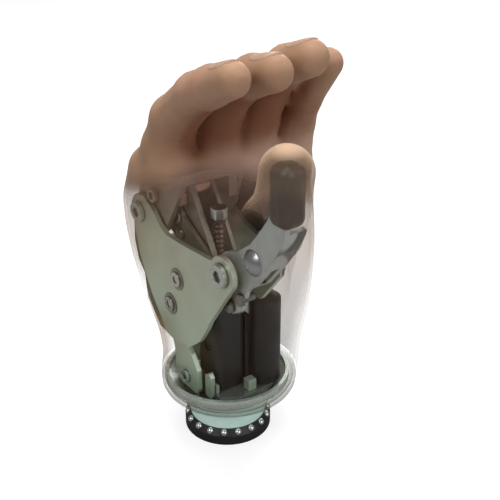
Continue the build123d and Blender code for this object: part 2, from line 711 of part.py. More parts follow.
def thumb_pins():
    """Headed pins on the lower arm: the link pin and the adjusting screw."""
    link = rod(LINK_THUMB_PIN, LEVER_Y, LINK_Y + LINK_T + 0.1, 1.5)
    link += rod(LINK_THUMB_PIN, LEVER_Y - 1.4, LEVER_Y, 2.6)
    adjust = rod(LEVER_SCREW, LEVER_Y, LEVER_Y + LEVER_T + 3, 1.4)
    adjust += rod(LEVER_SCREW, LEVER_Y - 1.4, LEVER_Y, 2.3)
    return Compound([link.solid(), adjust.solid()])


def thumb_core():
    """Dark rounded pad sleeve on the end of the lever."""
    core = block(CORE_X, CORE_Y, CORE_Z)
    core = fillet(core.edges(), 3.6)
    slot = xz_face([(46.9, 113.3), (50.6, 120), (56, 120), (56.2, 113.5), (55.7, 109.4)], 0)
    return core - across(slot, LEVER_Y, LEVER_T)


# ---- drive link
def drive_link():
    """Link bar from the drive plate to the thumb lever, its far eye oversize."""
    (x0, z0), (x1, z1) = LINK_FINGER_PIN, LINK_THUMB_PIN
    angle = math.degrees(math.atan2(z1 - z0, x1 - x0))
    middle = Pos((x0 + x1) / 2, (z0 + z1) / 2)
    span = math.hypot(x1 - x0, z1 - z0)
    bar = middle * (Rot(0, 0, angle) * Rectangle(span, 4.6))
    bar += Pos(x0, z0) * Circle(3.2) + Pos(x1, z1) * Circle(3.9)
    bar -= Pos(x0, z0) * Circle(1.5 + RUNNING) + Pos(x1, z1) * Circle(2.75)
    return across(bar, LINK_Y, LINK_T)


# ---- glove
def palm_form(inset):
    """Skin form of the palm between the wrist and the knuckles, drawn in by inset."""
    faces = []
    for z, x0, x1, y0, y1, back, palm in PALM_SECTIONS:
        shape = Rectangle(x1 - x0 - 2 * inset, y1 - y0 - 2 * inset)
        corners = shape.vertices().sort_by(Axis.X)
        shape = fillet(corners[:2], back - inset)
        shape = fillet(shape.vertices().sort_by(Axis.X)[-2:], palm - inset)
        faces.append(Pos((x0 + x1) / 2, (y0 + y1) / 2, z) * shape)
    form = loft(faces, ruled=True)
    y_low, y_high = -25.8 + inset, 6.0 - inset
    return form + rod(THUMB_PIVOT, y_low, y_high, THENAR_R - inset)


def wedge(angle_palm, angle_back, reach=120.0):
    """Everything above two planes that meet on the finger axis."""
    x, z = FINGER_PIVOT
    palm, back = math.radians(angle_palm), math.radians(angle_back)
    outline = [
        (x, z), (x + reach * math.cos(palm), z + reach * math.sin(palm)),
        (x + reach, z + reach), (x - reach, z + reach),
        (x - reach * math.cos(back), z + reach * math.sin(back)),
    ]
    return across(xz_face(outline, 0), -60, 120)


def glove_palm():
    """Hollow skin of the palm, wrist and thumb base."""
    low, wide, top = HEM_Z
    hem = turned([(0, low), (19.9, low), (27.8, wide), (27.8, top), (0, top)])
    hollow = turned([(0, low), (18.5, low), (18.5, low + 0.7), (25.6, wide + 0.5), (25.6, top), (0, top)])
    skin = palm_form(0) + hem - palm_form(SKIN_T) - hollow
    skin -= wedge(18.0, -2.0)
    mouth = block((26.5, 50), (-19.4, -3.2), (60, 112))
    skin -= mouth
    return skin.solids().sort_by(SortBy.VOLUME)[-1]


def glove_fingers():
    """Knuckle skin and the four fingers, hollow over the bracket and cores."""
    above = wedge(22.0, 32.0)
    skin = palm_form(0) & above
    for y, points in FINGERS.values():
        skin += limb(points, y) & above
    skin -= rod(FINGER_PIVOT, -60, 60, 9.0)
    cavity = xz_face([
        (-37.4, 80), (-36.2, 92), (-34.2, 101.4), (-24, 109.2), (-22, KNUCKLE_Z[1]),
        (-2, KNUCKLE_Z[1]), (3, 108), (20, 98), (30, 80),
    ], 0)
    skin -= across(cavity, -24.6, 53.2)
    for name in FINGERS:
        skin -= finger_core(name)
    return skin.solids().sort_by(SortBy.VOLUME)[-1]


def glove_thumb():
    """Thumb skin over the pad sleeve and lever."""
    skin = limb(THUMB, THUMB_Y) - rod(THUMB_PIVOT, -60, 60, THENAR_R + 0.6)
    skin -= fillet(block(CORE_X, CORE_Y, CORE_Z).edges(), 3.6)
    lever_room = xz_face([(34, 96), (43.2, 109.6), (46, 114.2), (49.6, 120.6), (58, 120.6),
                          (58, 109), (53.8, 101), (45, 89)], 0)
    skin -= across(lever_room, LEVER_Y - 0.3, 12.0)
    return skin.solids().sort_by(SortBy.VOLUME)[-1]


def main():
    """Build every node and write its STEP file."""
    os.makedirs("parts", exist_ok=True)
    spots = [(14.6 * math.cos(math.radians(a)), 14.6 * math.sin(math.radians(a)))
             for a in (0, 90, 180, 270)]
    export("roller_ring", roller_ring())
    export("ring_balls", ring_balls())
    export("coupling_collar", coupling_collar())
    export("retaining_ring", retaining_ring())
    export("contact_socket", contact_socket())
    export("contact_sleeve", contact_sleeve())
    export("wrist_collar", wrist_collar(spots))
    export("wrist_dish", wrist_dish(spots))
    export("dish_screws", dish_screws(spots))
    for build in (
        chassis_base, base_lugs, side_plate_radial, side_plate_ulnar, lower_bracket_radial,
        lower_bracket_ulnar, bracket_strip, bracket_screws, bracket_rivets, spacer_posts,
        post_screws, plate_washers, plate_screws, standoffs, dorsal_strap, motor_housing,
        motor_can, gearhead, control_capsule, control_board, inner_plate, finger_pivot_pin,
        thumb_pivot_pin, drive_screw, screw_lock_nut, travel_nut, finger_cheek_radial,
        finger_cheek_ulnar, drive_fork, cross_shaft, cheek_screws, fork_bolts, copper_bush,
        link_finger_pin, knuckle_beam, carrier_block, carrier_arm, thumb_lever,
        thumb_lever_inner, thumb_rivet, thumb_spacer, thumb_pins, thumb_core, drive_link,
        glove_palm, glove_fingers, glove_thumb,
    ):
        export(build.__name__, build())
    for name in FINGERS:
        export(f"{name}_finger_core", finger_core(name))


main()
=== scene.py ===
import json
import math

import bpy
import numpy as np
from mathutils import Matrix, Vector


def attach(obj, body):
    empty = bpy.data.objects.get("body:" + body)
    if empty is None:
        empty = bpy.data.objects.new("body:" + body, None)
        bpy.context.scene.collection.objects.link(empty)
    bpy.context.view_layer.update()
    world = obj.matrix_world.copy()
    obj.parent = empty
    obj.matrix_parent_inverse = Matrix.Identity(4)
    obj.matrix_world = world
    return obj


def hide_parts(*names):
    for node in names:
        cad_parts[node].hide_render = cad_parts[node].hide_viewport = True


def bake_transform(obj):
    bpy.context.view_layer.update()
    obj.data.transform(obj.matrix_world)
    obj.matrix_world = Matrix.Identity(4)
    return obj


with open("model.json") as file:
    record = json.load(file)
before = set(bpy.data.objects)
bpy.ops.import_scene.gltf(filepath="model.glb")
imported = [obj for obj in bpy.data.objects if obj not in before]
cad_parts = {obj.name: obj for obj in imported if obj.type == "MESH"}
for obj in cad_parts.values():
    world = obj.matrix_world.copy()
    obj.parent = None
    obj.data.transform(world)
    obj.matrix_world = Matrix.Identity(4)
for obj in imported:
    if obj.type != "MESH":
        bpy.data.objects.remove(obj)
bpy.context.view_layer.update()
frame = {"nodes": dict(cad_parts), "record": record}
MM = 0.001
SCENE = bpy.context.scene


# ---------------------------------------------------------------- camera and stage
VIEW_AZIMUTH = math.radians(54.0)
VIEW_RISE = math.radians(26.1)
CAMERA_AT = Vector((0.25057, -0.17048, 0.22801))
CAMERA_LENS = 63.0
CAMERA_SENSOR = 36.0
CAMERA_CLIP = (0.01, 20.0)
LAMP_AIM = Vector((0.0, 0.0, 0.09))
# Each lamp: place and side in metres, then power in watts.
LAMPS = {
    "key": ((0.15, -0.75, 0.75), 0.45, 2.4),
    "fill": ((0.9, 0.1, 0.45), 0.6, 2.3),
    "top": ((-0.05, 0.05, 0.98), 0.45, 7.4),
    "rim": ((-0.6, 0.7, 0.45), 0.5, 2.4),
}
# Strength of the white surround, first as light and then as seen by the camera.
SURROUND_LIGHT = 0.22
SURROUND_SEEN = 1.0
TRANSPARENT_BOUNCES = 32
WHITE = (1, 1, 1, 1)
FLOOR_HALF = 6
FLOOR_TONE = (0.35, 0.35, 0.35, 1)
FLOOR_ROUGH = 0.9
FLOOR_GLOW = 0.78


def make_camera():
    """Camera looking down at the palm and the index finger's side."""
    data = bpy.data.cameras.new("camera")
    camera = bpy.data.objects.new("camera", data)
    SCENE.collection.objects.link(camera)
    a, e = VIEW_AZIMUTH, VIEW_RISE
    right = Vector((math.cos(a), math.sin(a), 0))
    back = Vector((math.sin(a) * math.cos(e), -math.cos(a) * math.cos(e), math.sin(e)))
    up = back.cross(right)
    turn = Matrix((right, up, back)).transposed()
    camera.matrix_world = Matrix.Translation(CAMERA_AT) @ turn.to_4x4()
    data.lens = CAMERA_LENS
    data.sensor_width = CAMERA_SENSOR
    data.clip_start, data.clip_end = CAMERA_CLIP
    SCENE.camera = camera


def area_light(name, at, size, power):
    """Soft square lamp aimed at the hand."""
    data = bpy.data.lights.new(name, "AREA")
    data.size = size
    data.energy = power
    lamp = bpy.data.objects.new(name, data)
    SCENE.collection.objects.link(lamp)
    lamp.location = at
    lamp.rotation_mode = "QUATERNION"
    lamp.rotation_quaternion = (LAMP_AIM - Vector(at)).to_track_quat("-Z", "Y")


def make_lights():
    """White surround and soft lamps."""
    world = bpy.data.worlds.new("surround")
    SCENE.world = world
    world.use_nodes = True
    tree = world.node_tree
    shade = tree.nodes["Background"]
    shade.inputs["Color"].default_value = WHITE
    path = tree.nodes.new("ShaderNodeLightPath")
    level = tree.nodes.new("ShaderNodeMapRange")
    level.inputs["To Min"].default_value = SURROUND_LIGHT
    level.inputs["To Max"].default_value = SURROUND_SEEN
    tree.links.new(path.outputs["Is Camera Ray"], level.inputs["Value"])
    tree.links.new(level.outputs["Result"], shade.inputs["Strength"])
    for name, lamp in LAMPS.items():
        area_light(name, *lamp)
    SCENE.view_settings.view_transform = "Standard"
    SCENE.cycles.transparent_max_bounces = TRANSPARENT_BOUNCES


def make_floor():
    """Plain pale floor."""
    mesh = bpy.data.meshes.new("floor")
    half = FLOOR_HALF
    corners = [(-half, -half, 0), (half, -half, 0), (half, half, 0), (-half, half, 0)]
    mesh.from_pydata(corners, [], [(0, 1, 2, 3)])
    floor = bpy.data.objects.new("floor", mesh)
    SCENE.collection.objects.link(floor)
    material = bpy.data.materials.new("floor")
    material.use_nodes = True
    shader = material.node_tree.nodes["Principled BSDF"]
    shader.inputs["Base Color"].default_value = FLOOR_TONE
    shader.inputs["Roughness"].default_value = FLOOR_ROUGH
    shader.inputs["Specular IOR Level"].default_value = 0.0
    shader.inputs["Emission Color"].default_value = WHITE
    path = material.node_tree.nodes.new("ShaderNodeLightPath")
    glow = material.node_tree.nodes.new("ShaderNodeMath")
    glow.operation = "MULTIPLY"
    glow.inputs[1].default_value = FLOOR_GLOW
    material.node_tree.links.new(path.outputs["Is Camera Ray"], glow.inputs[0])
    material.node_tree.links.new(glow.outputs[0], shader.inputs["Emission Strength"])
    mesh.materials.append(material)


# ---------------------------------------------------------------- material helpers
class Shader:
    """A material with one Principled shader and short calls to add nodes."""

    def __init__(self, name, **constants):
        self.material = bpy.data.materials.new(name)
        self.material.use_nodes = True
        self.tree = self.material.node_tree
        self.main = self.tree.nodes["Principled BSDF"]
        for key, value in constants.items():
            self.set(key.replace("_", " "), value)

    def set(self, socket, value):
        """Put a constant straight on a shader socket."""
        if isinstance(value, tuple) and len(value) == 3 and socket != "Subsurface Radius":
            value = (*value, 1)
        self.main.inputs[socket].default_value = value

    def node(self, kind, **inputs):
        """Add a node, with its named inputs set or linked."""
        made = self.tree.nodes.new(kind)
        for key, value in inputs.items():
            self.feed(made.inputs[key.replace("_", " ")], value)
        return made

    def feed(self, socket, value):
        """Link an output to a socket, or set its constant."""
        if isinstance(value, bpy.types.NodeSocket):
            self.tree.links.new(value, socket)
        else:
            socket.default_value = value

    def place(self):
        """Object-space position."""
        return self.node("ShaderNodeTexCoord").outputs["Object"]

    def stretch(self, vector, scale):
        """A vector scaled along each axis."""
        made = self.node("ShaderNodeMapping", Vector=vector)
        made.inputs["Scale"].default_value = scale
        return made.outputs["Vector"]

    def noise(self, vector, scale, detail, rough=0.5):
        """Noise value over a vector."""
        made = self.node("ShaderNodeTexNoise", Vector=vector, Scale=scale, Detail=detail)
        made.inputs["Roughness"].default_value = rough
        return made.outputs["Fac"]

    def span(self, value, low, high, to_low, to_high, smooth=False):
        """Map one range to another."""
        made = self.node("ShaderNodeMapRange", Value=value)
        made.clamp = True
        if smooth:
            made.interpolation_type = "SMOOTHSTEP"
        ends = {"From Min": low, "From Max": high, "To Min": to_low, "To Max": to_high}
        for key, number in ends.items():
            made.inputs[key].default_value = number
        return made.outputs["Result"]

    def mix(self, factor, a, b):
        """Mix two colours."""
        made = self.tree.nodes.new("ShaderNodeMix")
        made.data_type = "RGBA"
        self.feed(made.inputs[0], factor)
        self.feed(made.inputs[6], a if isinstance(a, bpy.types.NodeSocket) else (*a, 1))
        self.feed(made.inputs[7], b if isinstance(b, bpy.types.NodeSocket) else (*b, 1))
        return made.outputs[2]

    def math(self, operation, a, b):
        """One operation on two values."""
        made = self.tree.nodes.new("ShaderNodeMath")
        made.operation = operation
        self.feed(made.inputs[0], a)
        self.feed(made.inputs[1], b)
        return made.outputs[0]

    def axis(self, vector, letter):
        """One coordinate of a vector."""
        return self.node("ShaderNodeSeparateXYZ", Vector=vector).outputs[letter]

    def bump(self, height, strength, distance, edge=0.0):
        """Drive the normal from a height, over edges softened to a radius."""
        made = self.node("ShaderNodeBump", Height=height, Strength=strength)
        made.inputs["Distance"].default_value = distance
        if edge:
            self.feed(made.inputs["Normal"], self.node("ShaderNodeBevel", Radius=edge).outputs[0])
        self.link("Normal", made.outputs["Normal"])

    def link(self, socket, output):
        """Drive a socket of the main shader."""
        self.tree.links.new(output, self.main.inputs[socket])


# ---------------------------------------------------------------- distance-field modelling
# Each smoothing round moves a vertex towards its neighbours, then a little further back.
RELAX_ROUNDS = 4
RELAX_SHARES = (0.5, -0.515)
# Limits on how steeply the rough distance to an ellipsoid grows.
ELLIPSOID_SLOPE = (0.7, 1.5)


def soft_min(a, b, k):
    """Union of two fields with a rounded valley of size k."""
    h = np.clip(0.5 + 0.5 * (b - a) / k, 0, 1)
    return b + (a - b) * h - k * h * (1 - h)


def round_cone(p, a, b, ra, rb):
    """Distance to a tapered capsule."""
    a, b = np.array(a, np.float32), np.array(b, np.float32)
    d = b - a
    t = np.clip(((p - a) @ d) / (d @ d), 0, 1)
    return np.linalg.norm(p - a - t[:, None] * d, axis=1) - (ra + (rb - ra) * t)


def ellipsoid(p, centre, radii):
    """Rough distance to an ellipsoid."""
    q = (p - np.array(centre, np.float32)) / np.array(radii, np.float32)
    length = np.linalg.norm(q, axis=1)
    return (length - 1) * min(radii) * np.clip(length, *ELLIPSOID_SLOPE)


def surface_net(field, step, origin):
    """Vertices and quads of a sampled field's zero surface."""
    inside = field < 0
    nx, ny, nz = field.shape
    corners = [(i, j, k) for i in (0, 1) for j in (0, 1) for k in (0, 1)]
    count = sum(inside[i:nx - 1 + i, j:ny - 1 + j, k:nz - 1 + k].astype(np.int8)
                for i, j, k in corners)
    cells = np.argwhere((count > 0) & (count < 8))
    index = -np.ones((nx - 1, ny - 1, nz - 1), np.int64)
    index[tuple(cells.T)] = np.arange(len(cells))
    total = np.zeros((len(cells), 3))
    hits = np.zeros(len(cells))
    for i, j, k in corners:
        for axis in range(3):
            if (i, j, k)[axis]:
                continue
            a = cells + (i, j, k)
            b = a.copy()
            b[:, axis] += 1
            fa, fb = field[tuple(a.T)], field[tuple(b.T)]
            cross = (fa < 0) != (fb < 0)
            share = np.where(cross, fa / np.where(cross, fa - fb, 1), 0)
            point = a.astype(float)
            point[:, axis] += share
            total[cross] += point[cross]
            hits += cross
    vertices = total / hits[:, None] * step + origin
    quads = []
    for axis in range(3):
        u, v = (axis + 1) % 3, (axis + 2) % 3
        low = [slice(1, -1)] * 3
        low[axis] = slice(0, -1)
        high = list(low)
        high[axis] = slice(1, None)
        change = inside[tuple(low)] != inside[tuple(high)]
        at = np.argwhere(change)
        shift = np.ones(3, int)
        shift[axis] = 0
        at = at + shift
        ring = []
        for du, dv in ((-1, -1), (0, -1), (0, 0), (-1, 0)):
            cell = at.copy()
            cell[:, u] += du
            cell[:, v] += dv
            ring.append(index[tuple(cell.T)])
        ring = np.stack(ring, 1)
        flip = ~inside[tuple(at.T)]
        ring[flip] = ring[flip][:, ::-1]
        quads.append(ring)
    return vertices, np.concatenate(quads)


def relax(vertices, quads):
    """Even out a net by moving each vertex towards its neighbours' mean and back."""
    a = quads.ravel()
    b = np.roll(quads, -1, axis=1).ravel()
    start, end = np.concatenate([a, b]), np.concatenate([b, a])
    count = len(vertices)
    degree = np.bincount(start, minlength=count)[:, None]
    for _ in range(RELAX_ROUNDS):
        for amount in RELAX_SHARES:
            sums = [np.bincount(start, vertices[end, axis], count) for axis in range(3)]
            vertices = vertices + amount * (np.stack(sums, 1) / degree - vertices)
    return vertices


def put_mesh(name, vertices, faces, smooth=True):
    """New object from vertices in millimetres."""
    mesh = bpy.data.meshes.new(name)
    corners = [[int(corner) for corner in face] for face in faces]
    mesh.from_pydata((np.asarray(vertices) * MM).tolist(), [], corners)
    mesh.validate()
    mesh.polygons.foreach_set("use_smooth", [smooth] * len(mesh.polygons))
    mesh.update()
    made = bpy.data.objects.new(name, mesh)
    SCENE.collection.objects.link(made)
    return made


# ---------------------------------------------------------------- the hand's form, in millimetres
# Palm sections: z, x and y limits, then back and palm corner radii.
PALM_SECTIONS = np.array((
    (14.0, -27.4, 28.2, -27.2, 28.4, 27.8, 27.8),
    (27.0, -27.4, 28.2, -27.2, 28.4, 27.8, 27.8),
    (35.0, -25.5, 28.0, -25.0, 28.0, 24.0, 25.0),
    (45.0, -27.0, 27.0, -23.5, 27.5, 18.0, 21.0),
    (56.0, -29.5, 27.5, -23.5, 28.2, 9.0, 17.0),
    (70.0, -36.2, 27.5, -24.0, 29.4, 8.0, 16.0),
    (84.0, -38.8, 27.0, -25.5, 31.0, 9.0, 17.0),
    (98.0, -37.8, 22.0, -27.5, 33.5, 11.0, 16.0),
    (114.0, -28.0, 12.0, -30.0, 33.5, 13.0, 13.0),
    (128.0, -22.0, 12.0, -30.0, 33.5, 13.0, 13.0),
))
# Each finger: x, y, z and skin radius along its centre line, knuckle to tip.
FINGERS = {
    "index": ((-13, -20.5, 104, 9.9), (-11.1, -20.3, 112, 9.8), (-5.0, -20.8, 124.4, 9.2),
              (0.9, -21.2, 136.4, 8.3), (16.1, -21.5, 148.5, 7.3), (25, -21.5, 153, 6.8),
              (36.2, -21.5, 157.6, 6.0)),
    "middle": ((-6, -5.0, 104, 9.5), (-2.6, -4.5, 112.9, 8.8), (1.8, -4.5, 126.9, 7.7),
               (6.8, -4.8, 139.2, 7.6), (15.9, -5.2, 148.9, 7.5), (25.3, -5.5, 154, 7.0),
               (36.2, -5.5, 157.3, 6.4)),
    "ring": ((-2, 11, 104, 9.0), (1.8, 11, 114.5, 8.2), (5.5, 11, 131, 7.5),
             (12.6, 11, 146, 7.3), (21.8, 11, 154.4, 6.9), (34.0, 11, 159.2, 6.4)),
    "little": ((2, 27, 102, 7.8), (6.6, 26.6, 112.5, 7.2), (10, 25.4, 129, 6.7),
               (14.8, 24.6, 139, 6.3), (25, 26.6, 153.5, 5.4)),
}
THUMB = ((42, -14, 103, 11.5), (48, -14, 112, 10.6), (52.7, -14, 120.7, 9.0),
         (54.4, -14, 131.7, 8.9))
# Mound at the root of the thumb.
MOUND_AT = (25.0, -11.0, 83.0)
MOUND_R = (21.0, 15.5, 23.0)
# The palm's sections are read every millimetre between two heights, then averaged over
# this many of them.
PALM_READ = (8.0, 140.0)
PALM_AVERAGE = 15
PALM_TOP = 122.0
# How the palm's form turns in towards its lower end.
HEM_LOW = 17.6
HEM_TOP = 26.0
HEM_TURN_IN = 7.2
HEM_ROUND = 0.98
# Widths of the rounded valleys between neighbouring forms.
VALLEY_TOP = 8.0
VALLEY_JOINT = 2.0
VALLEY_FINGERS = 1.2
VALLEY_MOUND = 14.0
VALLEY_KNUCKLES = 4.5
VALLEY_THUMB = 12.0
SKIN_LOW_EDGE = 25.0
HEM_AT = (0.4, 0.6)
HEM_STEPS = 160
# Thick hem's section: radius and z, down the outside then up the inside.
HEM_SECTION = (
    (27.3, 25.7), (27.6, 23.9), (27.4, 22.2), (26.7, 20.7), (25.4, 19.3), (23.8, 18.1),
    (22.2, 17.2), (20.9, 16.9), (20.2, 17.3), (20.4, 17.9), (21.6, 18.5), (23.2, 19.5),
    (24.6, 20.7), (25.6, 21.9), (26.2, 23.2), (26.5, 24.5), (26.6, 25.7),
)
GRID_LOW = (-46.0, -42.0, 16.0)
GRID_HIGH = (72.0, 46.0, 172.0)
GRID_STEP = 1.2
SKIN_T = 1.2


def palm_field(p):
    """Palm and wrist as rounded rectangles that change with height."""
    fine = np.arange(*PALM_READ, 1.0)
    kernel = np.hanning(PALM_AVERAGE)
    rows = []
    for section in PALM_SECTIONS.T[1:]:
        values = np.interp(fine, PALM_SECTIONS[:, 0], section)
        padded = np.pad(values, PALM_AVERAGE // 2, mode="edge")
        rows.append(np.convolve(padded, kernel / kernel.sum(), mode="valid"))
    x0, x1, y0, y1, back, front = (np.interp(p[:, 2], fine, row) for row in rows)
    x = p[:, 0] - (x0 + x1) / 2
    y = p[:, 1] - (y0 + y1) / 2
    turn = np.clip(0.5 + x / (x1 - x0) * 2, 0, 1)
    radius = back + (front - back) * turn
    qx = np.abs(x) - (x1 - x0) / 2 + radius
    qy = np.abs(y) - (y1 - y0) / 2 + radius
    outside = np.hypot(np.maximum(qx, 0), np.maximum(qy, 0))
    side = outside + np.minimum(np.maximum(qx, qy), 0) - radius
    fall = np.clip((HEM_TOP - p[:, 2]) / (HEM_TOP - HEM_LOW), 0, 1)
    arc = np.sqrt(np.maximum(1 - HEM_ROUND * fall ** 2, 1 - HEM_ROUND))
    side = side + HEM_TURN_IN * (1 - arc)
    return -soft_min(-side, -(p[:, 2] - PALM_TOP), VALLEY_TOP)


def chain_field(p, points):
    """One digit as joined tapered capsules."""
    field = None
    for (*a, ra), (*b, rb) in zip(points, points[1:]):
        part = round_cone(p, a, b, ra, rb)
        field = part if field is None else soft_min(field, part, VALLEY_JOINT)
    return field


def digit_fields(p):
    """Fields of the four fingers together and of the thumb."""
    fingers = None
    for points in FINGERS.values():
        one = chain_field(p, points)
        fingers = one if fingers is None else soft_min(fingers, one, VALLEY_FINGERS)
    mound = ellipsoid(p, MOUND_AT, MOUND_R)
    return fingers, soft_min(chain_field(p, THUMB), mound, VALLEY_MOUND)


def hand_field(p):
    """The whole hand's field."""
    fingers, thumb = digit_fields(p)
    hand = soft_min(palm_field(p), fingers, VALLEY_KNUCKLES)
    return soft_min(hand, thumb, VALLEY_THUMB)


def hand_form():
    """Whole hand's surface, as vertices and quads."""
    low, high = np.array(GRID_LOW), np.array(GRID_HIGH)
    counts = np.ceil((high - low) / GRID_STEP).astype(int)
    axes = [low[i] + GRID_STEP * np.arange(counts[i]) for i in range(3)]
    grid = np.stack(np.meshgrid(*axes, indexing="ij"), -1).reshape(-1, 3).astype(np.float32)
    vertices, quads = surface_net(hand_field(grid).reshape(counts), GRID_STEP, low)
    return relax(vertices, quads), quads


def thumb_side(vertices):
    """True for the points that belong to the thumb's skin."""
    p = vertices.astype(np.float32)
    palm = palm_field(p)
    fingers, thumb = digit_fields(p)
    return (thumb < palm) & (thumb < fingers)


def solidified(name, vertices, quads, normals, keep):
    """Part of the hand's surface as a thin closed skin."""
    faces = quads[keep]
    used, compact = np.unique(faces, return_inverse=True)
    faces = compact.reshape(faces.shape)
    outer = vertices[used]
    inner = outer - normals[used] * SKIN_T
    n = len(outer)
    edges = {}
    for face in faces:
        for a, b in zip(face, np.roll(face, -1)):
            edges[(a, b)] = True
    rim = [(a, b) for a, b in edges if (b, a) not in edges]
    walls = [(b, a, a + n, b + n) for a, b in rim]
    everything = faces.tolist() + (faces[:, ::-1] + n).tolist() + walls
    made = put_mesh(name, np.concatenate([outer, inner]), everything)
    made.data.polygons.foreach_set(
        "material_index", [0] * len(faces) + [1] * len(faces) + [2] * len(walls))
    split = np.concatenate([normals[used], -normals[used]])
    made.data.normals_split_custom_set_from_vertices(split.tolist())
    return made


def vertex_normals(vertices, quads):
    """Area-weighted unit normals."""
    a, b, c, d = (vertices[quads[:, i]] for i in range(4))
    face = np.cross(c - a, d - b)
    total = np.zeros_like(vertices)
    for i in range(4):
        for axis in range(3):
            total[:, axis] += np.bincount(quads[:, i], face[:, axis], len(vertices))
    return total / np.maximum(np.linalg.norm(total, axis=1, keepdims=True), 1e-9)


# All spans from here to the creases are in millimetres, or in parts of a unit normal.
THUMB_LEAN = 0.25
THUMB_LEAN_Z = 110
THUMB_SPAN = (22, 36)
THUMB_TOP = (148, 144)


def smooth_step(value, low, high):
    """Smooth rise from 0 at low to 1 at high, which may be the smaller."""
    t = np.clip((value - low) / (high - low), 0, 1)
    return t * t * (3 - 2 * t)


def thumb_share(p):
    """1 on the thumb beyond its base, 0 on the hand."""
    x, z = p[:, 0], p[:, 2]
    beside = smooth_step(x - THUMB_LEAN * (z - THUMB_LEAN_Z), *THUMB_SPAN)
    return beside * smooth_step(z, *THUMB_TOP)


# The skin turns solid along the first direction. Its start shifts with the place along
# the second.
FADE_UP = np.array((-0.356, 0.259, 0.898))
FADE_ACROSS = np.array((0.588, 0.809, 0.0))
FADE_SHIFT_AT = (-41, -30, -20, -8, 6, 16)
FADE_SHIFT = (-5.0, -6.0, -5.5, 0.0, 0.0, -2.5)
FADE_LEVEL = (50, 70, 84, 90, 94, 97, 99.5, 102, 105)
FADE_COVER = (0.0, 0.012, 0.05, 0.11, 0.17, 0.26, 0.45, 0.75, 1.0)
# Least cover on the little finger's side, the back, the index side's edge and low down.
LITTLE_COVER, LITTLE_SPAN = 0.47, (7, 15)
BACK_COVER, BACK_SPAN = 0.38, (-24, -36)
INDEX_COVER, INDEX_SPAN, INDEX_HEIGHT = 0.40, (-21, -27), (56, 46)
LOW_COVER, LOW_HEIGHT = 0.12, (34, 24)
LOW_LITTLE_COVER, LOW_LITTLE_SPAN = 0.30, (-2, 8)
# That least cover grows behind the knuckles and halves where the skin faces the palm.
PALM_FACING = (0.55, 0.95)
PALM_LOSS = 0.5
KNUCKLE_HEIGHT = (90, 104)
KNUCKLE_GAIN = 0.5
# The thumb has a clear window on one side and a solid tip.
WINDOW_TO = np.array((0.80, -0.60, 0.0))
WINDOW_FACING = (0.0, 0.55)
THUMB_COVER = 0.70
WINDOW_LOSS = 0.62
THUMB_HEIGHT = (84, 92)
THUMB_TIP_HEIGHT = (136.5, 141)
THUMB_LEAST = 0.015


def skin_cover(p, normals):
    """How solid the skin is: full at the fingers and thumb tip, nearly clear at the wrist."""
    x, y, z = p.T
    height = p @ FADE_UP
    across = p @ FADE_ACROSS
    level = height - np.interp(across, FADE_SHIFT_AT, FADE_SHIFT)
    hand = np.interp(level, FADE_LEVEL, FADE_COVER)
    low = LOW_COVER + LOW_LITTLE_COVER * smooth_step(y, *LOW_LITTLE_SPAN)
    least = np.maximum.reduce([
        LITTLE_COVER * smooth_step(y, *LITTLE_SPAN),
        BACK_COVER * smooth_step(x, *BACK_SPAN),
        INDEX_COVER * smooth_step(across, *INDEX_SPAN) * smooth_step(z, *INDEX_HEIGHT),
        smooth_step(z, *LOW_HEIGHT) * low,
    ])
    palm_side = smooth_step(normals[:, 0], *PALM_FACING)
    gain = KNUCKLE_GAIN * smooth_step(z, *KNUCKLE_HEIGHT) * (1 - palm_side)
    least = least * (1 + gain) * (1 - PALM_LOSS * palm_side)
    hand = np.clip(np.maximum(hand, least), 0, 1)
    side = THUMB_COVER - WINDOW_LOSS * smooth_step(normals @ WINDOW_TO, *WINDOW_FACING)
    thumb = side * smooth_step(height, *THUMB_HEIGHT)
    thumb = np.maximum(thumb, smooth_step(z, *THUMB_TIP_HEIGHT))
    thumb = np.maximum(thumb, THUMB_LEAST)
    return hand + (thumb - hand) * thumb_share(p)


# What the skin gains edge on: less over the motors, more on the thumb.
EDGE_COVER = 0.2
EDGE_MOTOR_LOSS = 0.19
EDGE_THUMB_GAIN = 0.75
EDGE_THUMB_HEIGHT = (84, 90)
MOTORS_X, MOTORS_Y, MOTORS_Z = (16, 24), (18, 8), (84, 74)


def edge_cover(p):
    """How much the skin closes where it is seen edge on."""
    x, y, z = p.T
    over_motors = smooth_step(x, *MOTORS_X) * smooth_step(y, *MOTORS_Y) * smooth_step(z, *MOTORS_Z)
    thumb = thumb_share(p) * smooth_step(p @ FADE_UP, *EDGE_THUMB_HEIGHT)
    return EDGE_COVER - EDGE_MOTOR_LOSS * over_motors + EDGE_THUMB_GAIN * thumb


# Each direction light comes from, with its share.
SKY = (((0.45, -0.45, 0.77), 0.40), ((0.7, 0.0, 0.7), 0.35), ((0.2, 0.3, 0.93), 0.25))
SKY_REACHES = (3.0, 6.0, 10.0, 15.0, 22.0, 30.0)
SKY_START = 1.5
# How open a way out is: the room beside it over this share of its reach, plus a base.
SKY_ROOM = 0.28
SKY_BASE = 0.15
HOLLOW_FACING = (-0.55, 0.15)
HOLLOW_Z = (96, 112)
HOLLOW_X = (34, 20)


